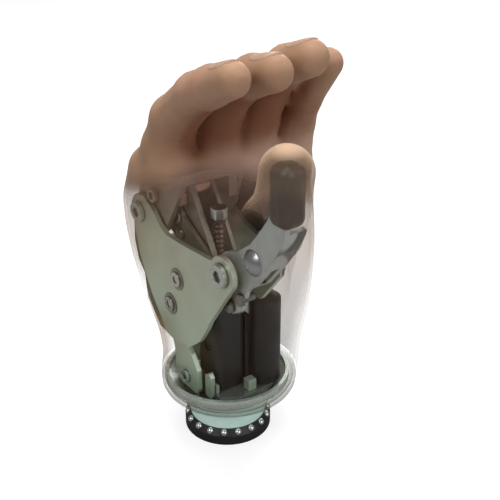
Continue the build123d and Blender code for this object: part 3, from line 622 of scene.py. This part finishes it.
def hollow_shade(p, normals):
    """How little light reaches each point between the curled fingers, from 0 to 1."""
    shade = np.zeros(len(p))
    for direction, weight in SKY:
        step = np.array(direction)
        openness = np.ones(len(p))
        for reach in SKY_REACHES:
            at = (p + normals * SKY_START + step * reach).astype(np.float32)
            room = hand_field(at) / (SKY_ROOM * reach) + SKY_BASE
            openness = np.minimum(openness, np.clip(room, 0, 1))
        shade += weight * (1 - openness)
    facing = smooth_step(normals[:, 0], *HOLLOW_FACING)
    place = smooth_step(p[:, 2], *HOLLOW_Z) * smooth_step(p[:, 0], *HOLLOW_X)
    return shade * facing * place * (1 - thumb_share(p))


# Each fold line: strength, then distance past the joint and width in millimetres.
FOLDS = ((1.0, 0.0, 0.75), (0.6, 2.6, 0.6))
FOLD_DEPTH = 0.35
FOLD_WAVE = 0.5
FOLD_WAVE_RATE = 1.1
FOLD_MARGIN = 2.5
# Folds die out towards the digit's sides: 1.2 less twice the sideways part of the normal.
FOLD_FACING = (1.2, 2.0)


def crease_lines(p, normals):
    """Fold lines round each digit's joints, from 0 to 1."""
    total = np.zeros(len(p))
    facing = np.clip(FOLD_FACING[0] - FOLD_FACING[1] * np.abs(normals[:, 1]), 0, 1)
    for points in (*FINGERS.values(), THUMB):
        for before, here, after in zip(points[1:], points[2:-1], points[3:]):
            along = np.array(after[:3]) - np.array(before[:3])
            along = along / np.linalg.norm(along)
            away = p - np.array(here[:3])
            run = away @ along
            apart = np.linalg.norm(away - run[:, None] * along, axis=1)
            wave = FOLD_WAVE * np.sin(away[:, 1] * FOLD_WAVE_RATE)
            fold = sum(strength * np.exp(-((run - wave - past) / width) ** 2)
                       for strength, past, width in FOLDS)
            total = np.maximum(total, fold * (apart < here[3] + FOLD_MARGIN) * facing)
    return total


def spread(made, name, values):
    """Store one number per vertex for the materials."""
    layer = made.data.attributes.new(name, "FLOAT", "POINT")
    layer.data.foreach_set("value", np.asarray(values, np.float32))


def points_of(made):
    """Vertex positions in millimetres."""
    flat = np.empty(len(made.data.vertices) * 3)
    made.data.vertices.foreach_get("co", flat)
    return flat.reshape(-1, 3) / MM


def make_glove(materials):
    """Skin of the palm and fingers, and skin of the thumb."""
    vertices, quads = hand_form()
    normals = vertex_normals(vertices, quads)
    vertices = vertices - normals * (FOLD_DEPTH * crease_lines(vertices, normals))[:, None]
    quads = quads[(vertices[quads][:, :, 2] > SKIN_LOW_EDGE).all(1)]
    thumb = thumb_side(vertices)[quads].all(1)
    hand = solidified("glove_skin_hand", vertices, quads, normals, ~thumb)
    digit = solidified("glove_skin_thumb", vertices, quads, normals, thumb)
    for made in (hand, digit):
        for material in materials:
            made.data.materials.append(material)
        points = points_of(made)
        half = len(points) // 2
        out = (points[:half] - points[half:]) / SKIN_T
        spread(made, "cover", skin_cover(points, np.tile(out, (2, 1))))
        spread(made, "edge", edge_cover(points))
        # The closed attribute holds painted shade for the hollows between the curled fingers.
        spread(made, "closed", np.tile(hollow_shade(points[:half], out), 2))
        spread(made, "crease", np.tile(crease_lines(points[:half], out), 2))
    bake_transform(hand)
    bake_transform(digit)
    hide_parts("glove_palm", "glove_fingers")
    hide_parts("glove_thumb")


def lathe(name, profile, centre, around):
    """Closed ring of revolution from (radius, z) points, in millimetres."""
    turns = np.linspace(0, 2 * np.pi, around, endpoint=False)
    rings = np.array([[(centre[0] + r * np.cos(t), centre[1] + r * np.sin(t), z) for t in turns]
                      for r, z in profile])
    count = len(profile)
    faces = []
    for i in range(count):
        for j in range(around):
            k = (j + 1) % around
            n = (i + 1) % count
            faces.append((i * around + j, i * around + k, n * around + k, n * around + j))
    return put_mesh(name, rings.reshape(-1, 3), faces)


def make_hem(material):
    """Thick clear hem curling in under the dish."""
    hem = lathe("glove_hem", HEM_SECTION, HEM_AT, HEM_STEPS)
    hem.data.materials.append(material)
    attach(hem, "hand_frame")


# The strip's two heights, its two ends in x, its flat face and its curved face in y.
STRIP_Z = (25.6, 55.4)
STRIP_X = (3.0, 11.3)
STRIP_FLAT_Y = 1.0
STRIP_CURVED_Y = 3.0
STRIP_BOW = 0.8
STRIP_STEPS = 9


def make_gap_shade_strip(material):
    """Dark strip between the gearbox housing and the capsule, standing in for the shade in the gap
    there.
    """
    (low, high), (left, right) = STRIP_Z, STRIP_X
    outline = [(left, STRIP_FLAT_Y), (right, STRIP_FLAT_Y)]
    for i in range(STRIP_STEPS + 1):
        t = i / STRIP_STEPS
        outline.append((right - (right - left) * t, STRIP_CURVED_Y - STRIP_BOW * t ** 2))
    strip_low = [(x, y, low) for x, y in outline]
    strip_high = [(x, y, high) for x, y in outline]
    n = len(outline)
    faces = [tuple(range(n))[::-1], tuple(range(n, 2 * n))]
    faces += [(i, (i + 1) % n, (i + 1) % n + n, i + n) for i in range(n)]
    strip = put_mesh("gap_shade_strip", strip_low + strip_high, faces, smooth=False)
    strip.data.materials.append(material)
    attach(strip, "hand_frame")


# A nail's half width and length for each millimetre of fingertip radius, and its grid.
NAIL_HALF_WIDTH = 0.78
NAIL_LENGTH = 1.75
NAIL_ROWS = 15
NAIL_COLUMNS = 13
NAIL_UP = (-0.4, 0, 1)
# Along the nail from 0 at its root to 1 at its tip: the fingertip's centre, then where each
# end starts to round off, over what length, and down to what width squared.
NAIL_CENTRE = 0.72
NAIL_TIP_FROM, NAIL_TIP_ROUND, NAIL_TIP_LEAST = 0.62, 0.39, 0.12
NAIL_ROOT_FROM, NAIL_ROOT_ROUND, NAIL_ROOT_LEAST = 0.3, 0.34, 0.2
NAIL_TAPER = 0.10
# Its drop for each square millimetre past the centre, how proud it stands, its thickness.
NAIL_DROP = 0.055
NAIL_PROUD = 0.12
NAIL_T = 0.9


def end_width(over, size, least):
    """Share of the width left where an end rounds off."""
    return min(1.0, math.sqrt(max(1 - max(over, 0) ** 2 / size ** 2, least)))


def nail_patch(name, tip, before, up, material, body):
    """Thin curved fingernail set on the back of a fingertip."""
    tip_at, before_at = Vector(tip[:3]), Vector(before[:3])
    along = (tip_at - before_at).normalized()
    up = (Vector(up) - Vector(up).dot(along) * along).normalized()
    side = along.cross(up)
    rows, columns = NAIL_ROWS, NAIL_COLUMNS
    half_width, length = tip[3] * NAIL_HALF_WIDTH, tip[3] * NAIL_LENGTH
    widen = (before[3] - tip[3]) / (tip_at - before_at).length
    outer, inner = [], []
    for i in range(rows):
        u = i / (rows - 1)
        reach = (u - NAIL_CENTRE) * length
        width = half_width * (1 - NAIL_TAPER * (2 * u - 1) ** 2)
        width *= end_width(u - NAIL_TIP_FROM, NAIL_TIP_ROUND, NAIL_TIP_LEAST)
        width *= end_width(NAIL_ROOT_FROM - u, NAIL_ROOT_ROUND, NAIL_ROOT_LEAST)
        sink = NAIL_DROP * max(reach, 0) ** 2
        radius = tip[3] + widen * max(-reach, 0) + NAIL_PROUD
        for j in range(columns):
            angle = (2 * j / (columns - 1) - 1) * width / radius
            lift = radius * math.cos(angle) - sink
            point = tip_at + along * reach + side * (radius * math.sin(angle)) + up * lift
            outer.append(point)
            inner.append(point - up * NAIL_T)
    faces = []
    n = rows * columns
    for i in range(rows - 1):
        for j in range(columns - 1):
            a = i * columns + j
            quad = (a, a + columns, a + columns + 1, a + 1)
            faces.append(quad)
            faces.append(tuple(q + n for q in reversed(quad)))
    border = ([j for j in range(columns)] + [i * columns + columns - 1 for i in range(1, rows)]
              + [(rows - 1) * columns + j for j in range(columns - 2, -1, -1)]
              + [i * columns for i in range(rows - 2, 0, -1)])
    for a, b in zip(border, border[1:] + border[:1]):
        faces.append((a, b, b + n, a + n))
    nail = put_mesh(name, outer + inner, faces)
    nail.data.materials.append(material)
    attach(nail, body)


def make_nails(material):
    """A nail on each finger."""
    for finger, points in FINGERS.items():
        nail_patch(f"{finger}_nail", points[-1], points[-2], NAIL_UP, material, "finger_unit")


# ---------------------------------------------------------------- materials
# Tones in pairs are the dark and the light end of a mottle.
SKIN_TAN = ((0.40, 0.235, 0.145), (0.48, 0.290, 0.188))
SKIN_FLUSH_TONE = (0.58, 0.315, 0.225)
# Painted shade tone along the fold lines at the joints.
SKIN_FOLD_SHADE = (0.24, 0.11, 0.075)
# Painted shade tone for the hollows between the curled fingers.
SKIN_HOLLOW_SHADE = (0.27, 0.115, 0.062)
SKIN_CLEAR = (0.68, 0.415, 0.18)
SKIN_LOW = (0.30, 0.22, 0.13)
SKIN_PALM = (0.66, 0.43, 0.34)
SKIN_THUMB = (0.62, 0.43, 0.29)
SHEEN_TINT = (1.0, 0.86, 0.74)
NAIL_TONE = ((0.46, 0.285, 0.195), (0.53, 0.34, 0.245))
HEM_TONE = ((0.24, 0.21, 0.155), (0.31, 0.28, 0.21))
# Share of the skin's cover on its outer face, its inner face and its cut edge.
SKIN_FACES = {"glove_outer": 1.0, "glove_inner": 0.35, "glove_seam": 0.0}
# Places where one tone gives way to the next, in metres.
LOW_TO_CLEAR_Z = (0.026, 0.042)
CLEAR_TO_TAN_Z = (0.078, 0.108)
PALM_TONE_X = (0.002, 0.014)
PALM_TONE_Z = (0.118, 0.130)
THUMB_TONE_X = (0.034, 0.044)
THUMB_TONE_Z = (0.143, 0.147)
HEM_FADE_Z = (0.0236, 0.0257)
METAL_LOW_Z = (0.045, 0.085)
# Radii over which the painted shade in a bowl's middle gives way to the metal.
BOWL_SHADE_R = (0.0175, 0.0245)
# Each noise: scale, detail and, where it isn't the usual 0.5, roughness.
SKIN_MOTTLE, SKIN_FLUSH = (55.0, 4.0), (22.0, 2.0)
SKIN_PORES, SKIN_WEAVE = (1400.0, 2.0), (520.0, 3.0)
NAIL_CLOUD, NAIL_RIDGES = (160.0, 2.0), (2600.0, 2.0)
HEM_CLOUD, HEM_RIPPLE = (60.0, 2.0), (900.0, 2.0)
METAL_BLOTCH, METAL_FINE = (120.0, 4.0, 0.6), (30.0, 3.0, 0.7)
MOULDED_CLOUD, MOULDED_FINE = (90.0, 3.0), (2200.0, 2.0)
# How a noise is stretched along each axis first.
WEAVE_STRETCH = (1.0, 1.0, 0.35)
RIDGE_STRETCH = (0.15, 1.0, 0.15)
METAL_STRETCH = (40, 40, 40)
# The part of a noise, or of the stored shade, that is spread over a material's range.
MIDDLE = (0.3, 0.7)
NARROW = (0.35, 0.65)
BLOTCH_SPAN = (0.35, 0.7)
FLUSH_SPAN = (0.48, 0.72)
HOLLOW_SPAN = (0.30, 0.95)
# The most that a tone covers what lies under it.
FLUSH_MOST = 0.55
FOLD_SHADE_MOST = 0.35
PALM_TONE_MOST = 0.85
# Roughness: its range, or its range about a given value.
SKIN_ROUGH = (0.38, 0.54)
NAIL_ROUGH = (0.36, 0.48)
HEM_ROUGH = (0.10, 0.22)
METAL_ROUGH = (-0.06, 0.08)
MOULDED_ROUGH = (-0.05, 0.07)
# Each bump: strength and distance in metres. The skin's height is four layers added up.
SKIN_BUMP = (0.3, 0.0006)
MOTTLE_BUMP, PORE_BUMP, WEAVE_BUMP, FOLD_BUMP = 0.5, 0.18, 0.22, 0.5
NAIL_BUMP = (0.1, 0.0002)
HEM_BUMP = (0.04, 0.0002)
METAL_BUMP = (0.08, 0.0002)
BOWL_BUMP = (0.02, 0.0002)
MOULDED_BUMP = (0.12, 0.00015)
# How late the cover rises as a face turns edge on, and the hem's cover.
SKIN_GRAZING = 2.0
HEM_GRAZING = 1.6
HEM_ALPHA = (0.16, 0.6)
HEM_FADED = 0.25
# Painted shade in the corners of metal parts: how far it reaches, how it darkens, and the softened
# edge.
CORNER_REACH = 0.0016
CORNER_SPAN = (0.35, 0.92)
CORNER_SHADE_TONE = 0.16
EDGE_SOFT = 0.0004
# The light end of a moulded tone's mottle.
LIGHT_GAIN, LIGHT_LIFT, LIGHT_MOST = 1.3, 0.008, 0.95


def attribute(s, name):
    """A number stored on the mesh."""
    made = s.node("ShaderNodeAttribute")
    made.attribute_name = name
    return made.outputs["Fac"]


def edge_on(s, power):
    """How nearly a face is seen edge on, from 0 to 1."""
    facing = s.node("ShaderNodeLayerWeight", Blend=0.5).outputs["Facing"]
    return s.math("POWER", facing, power)


def skin_material(name, scale):
    """Flexible skin, solid at the fingers and clear towards the wrist."""
    s = Shader(name, IOR=1.42, Specular_IOR_Level=0.15, Sheen_Weight=0.06, Sheen_Roughness=0.35)
    s.set("Sheen Tint", SHEEN_TINT)
    place = s.place()
    across, height = s.axis(place, "X"), s.axis(place, "Z")
    mottle = s.noise(place, *SKIN_MOTTLE)
    flush = s.noise(place, *SKIN_FLUSH)
    pores = s.noise(place, *SKIN_PORES)
    weave = s.noise(s.stretch(place, WEAVE_STRETCH), *SKIN_WEAVE)
    fold = attribute(s, "crease")
    tan = s.mix(s.span(mottle, *NARROW, 0, 1), *SKIN_TAN)
    tan = s.mix(s.span(flush, *FLUSH_SPAN, 0, FLUSH_MOST, True), tan, SKIN_FLUSH_TONE)
    # Painted shade: the skin's tone darkens along each fold line, beside the real dip and bump.
    tan = s.mix(s.math("MULTIPLY", fold, FOLD_SHADE_MOST), tan, SKIN_FOLD_SHADE)
    # Painted shade: the skin darkens where little light reaches between the curled fingers.
    tan = s.mix(s.span(attribute(s, "closed"), *HOLLOW_SPAN, 0, 1, True), tan, SKIN_HOLLOW_SHADE)
    palm = s.math("MULTIPLY", s.span(across, *PALM_TONE_X, 0, 1, True),
                  s.span(height, *PALM_TONE_Z, PALM_TONE_MOST, 0, True))
    tan = s.mix(palm, tan, SKIN_PALM)
    thumb = s.math("MULTIPLY", s.span(across, *THUMB_TONE_X, 0, 1, True),
                   s.span(height, *THUMB_TONE_Z, 1, 0, True))
    tan = s.mix(thumb, tan, SKIN_THUMB)
    clear = s.mix(s.span(height, *LOW_TO_CLEAR_Z, 0, 1, True), SKIN_LOW, SKIN_CLEAR)
    s.link("Base Color", s.mix(s.span(height, *CLEAR_TO_TAN_Z, 0, 1, True), clear, tan))
    s.link("Roughness", s.span(pores, *MIDDLE, *SKIN_ROUGH))
    front = attribute(s, "cover")
    rest = s.math("MULTIPLY", s.math("SUBTRACT", 1.0, front), attribute(s, "edge"))
    solid = s.math("ADD", front, s.math("MULTIPLY", edge_on(s, SKIN_GRAZING), rest))
    s.link("Alpha", s.math("MULTIPLY", solid, scale))
    grain = s.math("MULTIPLY", mottle, MOTTLE_BUMP)
    grain = s.math("ADD", grain, s.math("MULTIPLY", pores, PORE_BUMP))
    grain = s.math("ADD", grain, s.math("MULTIPLY", weave, WEAVE_BUMP))
    s.bump(s.math("SUBTRACT", grain, s.math("MULTIPLY", fold, FOLD_BUMP)), *SKIN_BUMP)
    s.set("Subsurface Weight", 0.2)
    s.set("Subsurface Radius", (1.0, 0.35, 0.2))
    s.set("Subsurface Scale", 0.003)
    return s.material


def nail_material():
    """Fingernail, glossy with fine lengthwise ridges."""
    s = Shader("nail", IOR=1.5, Specular_IOR_Level=0.35)
    place = s.place()
    cloud = s.noise(place, *NAIL_CLOUD)
    ridges = s.noise(s.stretch(place, RIDGE_STRETCH), *NAIL_RIDGES)
    s.link("Base Color", s.mix(s.span(cloud, *NARROW, 0, 1), *NAIL_TONE))
    s.link("Roughness", s.span(ridges, *MIDDLE, *NAIL_ROUGH))
    s.bump(ridges, *NAIL_BUMP)
    return s.material


def hem_material():
    """Thick clear edge of the glove, fading out where the thin skin takes over."""
    s = Shader("clear_hem", IOR=1.45, Specular_IOR_Level=0.3)
    place = s.place()
    cloud = s.noise(place, *HEM_CLOUD)
    s.link("Base Color", s.mix(s.span(cloud, *MIDDLE, 0, 1), *HEM_TONE))
    s.link("Roughness", s.span(cloud, *MIDDLE, *HEM_ROUGH))
    fade = s.span(s.axis(place, "Z"), *HEM_FADE_Z, 1, HEM_FADED, True)
    s.link("Alpha", s.math("MULTIPLY", s.span(edge_on(s, HEM_GRAZING), 0, 1, *HEM_ALPHA), fade))
    s.bump(s.noise(place, *HEM_RIPPLE), *HEM_BUMP)
    return s.material


def metal_material(name, colour, rough, darker=0.8, metallic=1.0, low=None, bowl_shade=None):
    """Metal with mottled tone, uneven polish, fine grain and corners darkened with painted shade.

    The low tone is for its lower end. The bowl_shade tone is painted shade for the middle of a
    bowl, which gets no painted corner shade.
    """
    s = Shader(name, Metallic=metallic)
    place = s.place()
    blotch = s.noise(place, *METAL_BLOTCH)
    fine = s.noise(s.stretch(place, METAL_STRETCH), *METAL_FINE)
    dark = tuple(c * darker for c in colour)
    tone = s.mix(s.span(blotch, *BLOTCH_SPAN, 0, 1), dark, colour)
    if low is not None:
        tone = s.mix(s.span(s.axis(place, "Z"), *METAL_LOW_Z, 0, 1, True), low, tone)
    if bowl_shade is not None:
        # Painted shade: the middle of a bowl darkens to the bowl_shade tone.
        flat = s.node("ShaderNodeVectorMath", Vector=s.stretch(place, (1, 1, 0)))
        flat.operation = "LENGTH"
        tone = s.mix(s.span(flat.outputs["Value"], *BOWL_SHADE_R, 0, 1, True), bowl_shade, tone)
    else:
        # Painted shade: ambient occlusion darkens the corners and recesses.
        corner = s.node("ShaderNodeAmbientOcclusion", Distance=CORNER_REACH).outputs["AO"]
        corner_shade = tuple(c * CORNER_SHADE_TONE for c in colour)
        tone = s.mix(s.span(corner, *CORNER_SPAN, 0, 1, True), corner_shade, tone)
    s.link("Base Color", tone)
    s.link("Roughness", s.span(blotch, *MIDDLE, *(rough + off for off in METAL_ROUGH)))
    if bowl_shade is None:
        s.bump(fine, *METAL_BUMP, edge=EDGE_SOFT)
    else:
        s.bump(fine, *BOWL_BUMP)
    return s.material


def moulded_material(name, colour, rough, glow=0.0):
    """Moulded plastic with a fine surface grain, and an optional painted glow that brightens it
    though it is no lamp.
    """
    s = Shader(name)
    place = s.place()
    cloud = s.noise(place, *MOULDED_CLOUD)
    fine = s.noise(place, *MOULDED_FINE)
    light = tuple(min(c * LIGHT_GAIN + LIGHT_LIFT, LIGHT_MOST) for c in colour)
    s.link("Base Color", s.mix(s.span(cloud, *MIDDLE, 0, 1), colour, light))
    s.link("Roughness", s.span(fine, *MIDDLE, *(rough + off for off in MOULDED_ROUGH)))
    s.bump(fine, *MOULDED_BUMP, edge=EDGE_SOFT)
    # Painted glow: emission that brightens the plastic though it is no lamp.
    if glow:
        s.set("Emission Color", colour)
        s.set("Emission Strength", glow)
    return s.material


# ---------------------------------------------------------------- the scene
make_camera()
make_lights()
make_floor()
make_glove([skin_material(name, scale) for name, scale in SKIN_FACES.items()])
make_hem(hem_material())
make_nails(nail_material())

# The usual finish of each material slot.
FINISHES = {
    "black_plastic": moulded_material("black_plastic", (0.007, 0.007, 0.008), 0.42),
    "ball_steel": metal_material("ball_steel", (0.95, 0.95, 0.95), 0.12),
    # The pale green gets a painted glow to brighten it.
    "pale_green": moulded_material("pale_green", (0.60, 0.86, 0.74), 0.25, glow=0.12),
    # The aluminium is darkened in its bowl's middle with painted shade.
    "aluminium": metal_material("aluminium", (0.80, 0.89, 0.82), 0.26, metallic=0.6,
                                bowl_shade=(0.24, 0.26, 0.235)),
    "plate_steel": metal_material("plate_steel", (0.66, 0.72, 0.575), 0.42, darker=0.86,
                                  metallic=0.7, low=(0.60, 0.72, 0.58)),
    "screw_steel": metal_material("screw_steel", (0.70, 0.74, 0.70), 0.2),
    "brass": metal_material("brass", (0.78, 0.58, 0.28), 0.25),
    "copper": metal_material("copper", (0.62, 0.36, 0.25), 0.3),
    "circuit": moulded_material("circuit", (0.02, 0.12, 0.05), 0.35),
    "core_plastic": moulded_material("core_plastic", (0.056, 0.041, 0.027), 0.33),
}
# The finish of a slot on the moving finger unit: darker brown copies that paint the shade inside
# the hand and the tan skin's tint onto the parts.
SHADED = {
    "plate_steel": metal_material("plate_steel_shaded_brown", (0.40, 0.35, 0.28), 0.42, metallic=0.8),
    "screw_steel": metal_material("screw_steel_shaded_brown", (0.50, 0.44, 0.37), 0.28),
    "black_plastic": moulded_material("black_plastic_shaded_brown", (0.040, 0.029, 0.021), 0.4),
}
# Nodes with a finish of their own.
OWN = {
    "base_lugs": FINISHES["plate_steel"],
    "fork_bolts": FINISHES["screw_steel"],
    "link_finger_pin": FINISHES["screw_steel"],
    "post_screws": FINISHES["plate_steel"],
    "bracket_rivets": FINISHES["plate_steel"],
    "plate_washers": metal_material("washer_steel", (0.32, 0.35, 0.30), 0.32, metallic=0.75),
    "knuckle_beam": moulded_material("beam_tan", (0.30, 0.185, 0.13), 0.45),
    "thumb_lever": metal_material("lever_steel", (0.58, 0.61, 0.58), 0.38, metallic=0.62),
    "thumb_rivet": metal_material("rivet_steel", (0.45, 0.46, 0.47), 0.28),
    "drive_screw": metal_material("drive_screw_dark", (0.16, 0.12, 0.09), 0.35),
    "travel_nut": metal_material("travel_nut_dark", (0.22, 0.17, 0.13), 0.35),
    "drive_link": SHADED["plate_steel"],
    "thumb_pins": metal_material("pin_dark", (0.26, 0.27, 0.24), 0.25),
    "thumb_spacer": metal_material("spacer_dark", (0.20, 0.20, 0.18), 0.3),
    # Darker copy of the plate steel: painted shade on the ulnar plate seen through the gaps
    # between parts.
    "side_plate_ulnar": metal_material("plate_steel_far_shaded", (0.40, 0.41, 0.33), 0.42, metallic=0.7),
    "thumb_lever_inner": metal_material("web_steel", (0.46, 0.48, 0.42), 0.4, metallic=0.7),
}
# A dark strip stands in for the shade in the gap beside the capsule.
make_gap_shade_strip(FINISHES["black_plastic"])
slots = {row["node"]: row["material_slot"] for row in frame["record"]["subparts"]}
in_fingers = set(frame["record"]["behaviour"]["bodies"]["finger_unit"])
for name, node in frame["nodes"].items():
    slot = slots.get(name, "")
    finish = SHADED.get(slot) if name in in_fingers else None
    finish = OWN.get(name) or finish or FINISHES.get(slot)
    if finish is not None:
        node.data.materials.clear()
        node.data.materials.append(finish)
